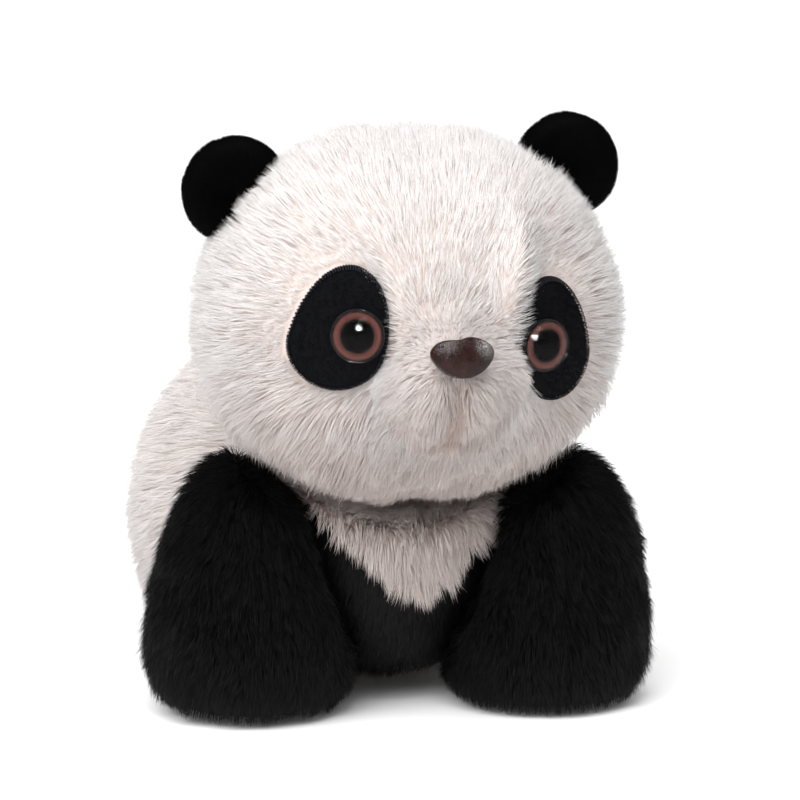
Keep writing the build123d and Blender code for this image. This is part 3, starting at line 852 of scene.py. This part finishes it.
def patch_piece(side):
    node = f"eye_patch_{side}"
    name = f"nap_{node}"
    rng = np.random.default_rng(40 + SIDES[side])
    head_tree, _ = feeler(HEAD_NODES)
    across_at, up_at, half_w, half_h, lean = PATCH[side]
    centre = HEAD + np.array([across_at, 0, up_at])
    lean = radians(lean)

    def spot_at(share, angle, lift):
        """Point over the head's cover, at a share of the way from the patch's middle to its edge."""
        tall = half_h + PATCH_EGG if sin(angle) > 0 else half_h - PATCH_EGG
        across = share * half_w * cos(angle)
        rise = share * tall * sin(angle) - PATCH_EGG
        x = centre[0] + across * cos(lean) + rise * sin(lean)
        z = centre[2] - across * sin(lean) + rise * cos(lean)
        hit, normal, _, _ = head_tree.ray_cast(Vector((x, -FAR, z)), Vector((0, 1, 0)))
        return np.array(hit) + np.array(normal) * lift

    rounds, turns = 18, 96
    points = [spot_at(0, 0, PATCH_LIFT)]
    for k in range(1, rounds + 1):
        share = k / rounds
        lift = PATCH_LIFT * sqrt(max(0.0, 1 - share ** 7)) - 0.2
        for t in range(turns):
            points.append(spot_at(share, 2 * pi * t / turns, lift))
    faces = [[0, 1 + (t + 1) % turns, 1 + t] for t in range(turns)]
    for k in range(rounds - 1):
        a, b = 1 + k * turns, 1 + (k + 1) * turns
        for t in range(turns):
            n = (t + 1) % turns
            faces += [[a + t, a + n, b + t], [a + n, b + n, b + t]]
    points, faces = np.array(points), np.array(faces)
    normals = vertex_normals(points, faces)
    if (normals[0] * np.array([0, -1, 0])).sum() < 0:
        faces = faces[:, ::-1]
        normals = -normals
    count = int(PATCH_COUNT * SHARE)
    roots, up = scatter(points, faces, normals, count, rng)
    away = np.linalg.norm(roots - EYE_FRONT[side], axis=1) > EYE_CLEAR
    roots, up = roots[away], up[away]
    count = len(roots)
    comb_from = np.array([centre[0], roots[:, 1].mean(), centre[2] + 6.0])
    strands, facing = grow(
        roots, up, flat_on(roots - comb_from, up), rng.uniform(*NAP_LENGTH, count), np.full(count, NAP_RISE),
        np.full(count, NAP_WIDTH), rng, tuft=8, pull=0.2, spike=True,
    )
    cloth, cloth_faces, cloth_normals = backed(points, faces, normals, 1.0)
    # the patch's backing cloth sits near the root end of the colour map, darkened by the painted root shade
    parts = [(cloth, cloth_faces, cloth_normals, np.full(len(cloth), 0.4), np.full(len(cloth), 0.1))]
    links = (SPIKE_FACES[None] + (np.arange(count) * 4)[:, None, None]).reshape(-1, 3)
    edge = ramp(patch_reach(side, roots), 0.78, 0.95)
    shade = np.clip(0.22 + 0.2 * edge + 0.2 * rng.normal(size=count), 0.03, 0.97)
    parts.append((
        strands.reshape(-1, 3), links, (facing * 0.5 + up[:, None] * 0.5).reshape(-1, 3),
        (shade[:, None] + np.linspace(-0.006, 0.006, 4)).ravel(), np.tile(SPIKE_HEIGHTS, count),
    ))
    # overlock stitches, thread loops over the edge
    for k in range(STITCHES):
        angle = 2 * pi * (k + 0.3 * rng.random()) / STITCHES
        path = [spot_at(share, angle + slant, lift) for share, slant, lift in STITCH_PATH]
        parts.append(thread(np.array(path), THREAD_R))
    return join_parts(name, parts), node


def thread(path, radius, around=6):
    """Round thread along a path: points, faces, normals and colour map."""
    ways = unit(np.gradient(path, axis=0))
    side = unit(np.cross(ways, [0.2, 0.1, 1.0]))
    over = np.cross(side, ways)
    points, normals = [], []
    for k in range(len(path)):
        for a in range(around):
            out = side[k] * cos(2 * pi * a / around) + over[k] * sin(2 * pi * a / around)
            points.append(path[k] + out * radius)
            normals.append(out)
    faces = []
    for k in range(len(path) - 1):
        for a in range(around):
            n = (a + 1) % around
            p, q = k * around, (k + 1) * around
            faces += [[p + a, q + a, p + n], [p + n, q + a, q + n]]
    count = len(path)
    for start, flip in ((0, False), ((count - 1) * around, True)):
        for a in range(1, around - 1):
            cap = [start, start + a, start + a + 1]
            faces.append(cap[::-1] if flip else cap)
    along = np.repeat(np.linspace(0.6, 0.9, count), around)
    return np.array(points), np.array(faces), np.array(normals), np.full(len(points), 0.9), along


for side in SIDES:
    piece, node = patch_piece(side)
    finish_piece(piece, "head", PATCH_NAP, [node])

# ---- fillings: lumpy fibre inside every cover -------------------------------------------------------
FIBRE = wool_material("stuffing", (0.66, 0.63, 0.58), (0.86, 0.84, 0.80))
BODY_OF = {"body_stuffing": "body", "chest_stuffing": "body", "neck_pad": "neck", "head_stuffing": "head",
           "muzzle_stuffing": "head", "tail_stuffing": "tail"}
for side in SIDES:
    BODY_OF[f"ear_wadding_{side}"] = f"ear_{side}"
    BODY_OF[f"front_leg_stuffing_{side}"] = f"front_leg_{side}"
    BODY_OF[f"hind_leg_stuffing_{side}"] = f"hind_leg_{side}"

for node, body in BODY_OF.items():
    low, high = box(node)
    centre = (low + high) / 2
    size = float(np.min(high - low))
    if node == "body_stuffing":
        centre = centre + np.array([0, 8.0, -4.0])
    depth = min(2.2, size * 0.06)
    points, faces, normals, _ = skin_over(
        [node], centre, 5, depth, 3,
        puff=lambda spots, depth=depth: 0.55 * depth * waves(spots, 9, 77),
    )
    across = np.clip(0.5 + 0.2 * waves(points, 12, 4), 0, 1)
    filling = make_mesh(f"filling_{node}", points, faces, normals, across, across)
    finish_piece(filling, body, FIBRE, [node])

# ---- moulded parts keep their CAD shape ---------------------------------------------------------------
BLACK_PLASTIC = plastic("black_plastic", (0.004, 0.004, 0.0045), 0.35, 1.2, 0.05, level=0.2)
PUPIL_BLACK = plastic("pupil_black", (0.0008, 0.0007, 0.0008), 0.6, 1.2, 0.02, level=0.0)
WASHER_PLASTIC = plastic("washer_plastic", (0.62, 0.62, 0.60), 0.5, 0.8, 0.2)
NOSE_BROWN = nose_material()
CLEAR_PLASTIC = clear_material()


def dress(node, material):
    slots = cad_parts[node].data.materials
    slots.clear()
    slots.append(material)


dress("nose", NOSE_BROWN)
dress("nose_washer", WASHER_PLASTIC)
for side in SIDES:
    dress(f"eye_base_{side}", BLACK_PLASTIC)
    dress(f"eye_pupil_{side}", PUPIL_BLACK)
    dress(f"eye_washer_{side}", WASHER_PLASTIC)
    dress(f"eye_iris_{side}", iris_material(side))

# ---- clear domes, kept a hair off the painted pupils ---------------------------------------------------
DOME_R, DOME_H, DOME_LIFT = 9.0, 4.8, 0.86
DOME_SPHERE = (DOME_R ** 2 + DOME_H ** 2) / (2 * DOME_H)


def lens_piece(side):
    """Turned clear dome with a small rounded rim, on the eye's own axis."""
    base = box(f"eye_base_{side}")
    spread = HEAD + np.array([SIDES[side] * HEAD_SPREAD, 0, 0])
    axis = unit(EYE_FRONT[side] - spread)
    low_iris = middle(f"eye_iris_{side}") - axis * 0.25
    side_way = unit(np.cross(axis, [0, 0, 1.0]))
    up_way = np.cross(side_way, axis)
    widest = np.arcsin(DOME_R / DOME_SPHERE)
    profile = [(DOME_R * k / 6, DOME_LIFT) for k in range(6)]
    profile += [(DOME_R - 0.12, DOME_LIFT), (DOME_R, DOME_LIFT + 0.14)]
    for k in range(1, 25):
        angle = widest * (1 - k / 24) * 0.985
        profile.append((DOME_SPHERE * sin(angle), DOME_H - DOME_SPHERE * (1 - cos(angle))))
    turns = 96
    points = [low_iris + axis * profile[0][1]]
    for radius, height in profile[1:-1]:
        for t in range(turns):
            a = 2 * pi * t / turns
            points.append(low_iris + axis * height + radius * (cos(a) * side_way + sin(a) * up_way))
    points.append(low_iris + axis * profile[-1][1])
    faces = []
    rows = len(profile) - 2
    for t in range(turns):
        n = (t + 1) % turns
        faces.append([0, 1 + n, 1 + t])
        for k in range(rows - 1):
            p, q = 1 + k * turns, 1 + (k + 1) * turns
            faces += [[p + t, p + n, q + t], [p + n, q + n, q + t]]
        last = 1 + (rows - 1) * turns
        faces.append([last + t, last + n, len(points) - 1])
    points, faces = np.array(points), np.array(faces)
    normals = vertex_normals(points, faces)
    if (normals[-1] * axis).sum() < 0:
        faces, normals = faces[:, ::-1], -normals
    across = np.full(len(points), 0.5)
    lens = make_mesh(f"dome_eye_lens_{side}", points, faces, normals, across, across)
    lens.data.materials.append(CLEAR_PLASTIC)
    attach(lens, "head")
    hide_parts(f"eye_lens_{side}")


for side in SIDES:
    lens_piece(side)

# ---- floor, light and camera ------------------------------------------------------------------------
FLOOR_HALF = 16.0           # metres, so that its far edge meets the white behind
floor_mesh = bpy.data.meshes.new("floor")
corners = [(-FLOOR_HALF, -FLOOR_HALF, 0), (FLOOR_HALF, -FLOOR_HALF, 0)]
corners += [(FLOOR_HALF, FLOOR_HALF, 0), (-FLOOR_HALF, FLOOR_HALF, 0)]
floor_mesh.from_pydata(corners, [], [(0, 1, 2, 3)])
floor = bpy.data.objects.new("floor", floor_mesh)
bpy.context.scene.collection.objects.link(floor)
pale, _, _, pale_main = shader("floor")
pale_main.inputs["Base Color"].default_value = (0.86, 0.86, 0.86, 1)
pale_main.inputs["Roughness"].default_value = 0.9
floor_mesh.materials.append(pale)

scene = bpy.context.scene
scene.view_settings.view_transform = "Standard"
world = bpy.data.worlds.new("studio")
scene.world = world
world.use_nodes = True
sky = world.node_tree.nodes["Background"]
sky.inputs["Color"].default_value = (1.0, 1.0, 1.0, 1)
kind = world.node_tree.nodes.new("ShaderNodeLightPath")
level = world.node_tree.nodes.new("ShaderNodeMapRange")     # full white behind, softer as light
level.inputs["To Min"].default_value = 0.92
level.inputs["To Max"].default_value = 1.0
world.node_tree.links.new(kind.outputs["Is Camera Ray"], level.inputs["Value"])
either = world.node_tree.nodes.new("ShaderNodeMath")        # reflections, and light that comes
either.operation = "MAXIMUM"
world.node_tree.links.new(kind.outputs["Is Glossy Ray"], either.inputs[0])
world.node_tree.links.new(kind.outputs["Is Transmission Ray"], either.inputs[1])
dim = world.node_tree.nodes.new("ShaderNodeMath")           # through fur, see darker walls
dim.operation = "MULTIPLY_ADD"
dim.inputs[1].default_value = -0.75
world.node_tree.links.new(either.outputs[0], dim.inputs[0])
world.node_tree.links.new(level.outputs[0], dim.inputs[2])
world.node_tree.links.new(dim.outputs[0], sky.inputs["Strength"])


# round lamps that only show as highlights on the eyes or on the nose
GLINTS = [
    ("catch", (-0.30, -1.05, 0.62), 0.45, 200.0, [f"dome_eye_lens_{side}" for side in SIDES]),
    ("glint_left", (1.08, -0.40, 0.60), 0.30, 16.0, [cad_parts["nose"].name]),
    ("glint_right", (-0.49, -0.92, 0.90), 0.30, 16.0, [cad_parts["nose"].name]),
]


def aim(thing, target):
    thing.rotation_euler = (Vector(target) - thing.location).to_track_quat("-Z", "Y").to_euler()


def softbox(name, place, size, power, colour=(1, 1, 1)):
    """Square soft light pointed at the head."""
    data = bpy.data.lights.new(name, "AREA")
    data.shape = "RECTANGLE"
    data.size, data.size_y = size
    data.energy = power
    data.color = colour
    lamp = bpy.data.objects.new(name, data)
    scene.collection.objects.link(lamp)
    lamp.location = place
    aim(lamp, HEAD * MM)
    lamp.visible_camera = False
    lamp.visible_transmission = False
    return lamp


# main light from above and the left of the picture, soft as from a large window
sun_data = bpy.data.lights.new("key", "SUN")
sun_data.energy = 2.8
sun_data.angle = radians(50)
sun = bpy.data.objects.new("key", sun_data)
scene.collection.objects.link(sun)
sun.location = (-0.8, -0.9, 1.5)
sun.visible_glossy = False
sun.visible_transmission = False
aim(sun, (0, 0, 0.1))
for name, place, size, power, lit in GLINTS:
    glint = softbox(name, place, (size, size), power)
    glint.data.shape = "DISK"
    glint.visible_diffuse = False
    group = bpy.data.collections.new(f"lit_by_{name}")
    for thing in lit:
        group.objects.link(bpy.data.objects[thing])
    glint.light_linking.receiver_collection = group
softbox("front", (-1.1, -1.0, 0.55), (0.7, 0.9), 6.0).visible_glossy = False
softbox("top", (0.05, -0.75, 1.15), (0.5, 0.3), 5.0)

TARGET = Vector(HEAD * MM)
TURN, LIFT, DISTANCE = radians(15), radians(7), 1.1
camera_data = bpy.data.cameras.new("camera")
camera_data.lens = 141.4
camera_data.sensor_width = 36.0
camera_data.shift_x = -0.00875
camera_data.shift_y = -0.10875
camera = bpy.data.objects.new("camera", camera_data)
scene.collection.objects.link(camera)
camera.location = TARGET + DISTANCE * Vector((-sin(TURN) * cos(LIFT), -cos(TURN) * cos(LIFT), sin(LIFT)))
aim(camera, TARGET)
scene.camera = camera
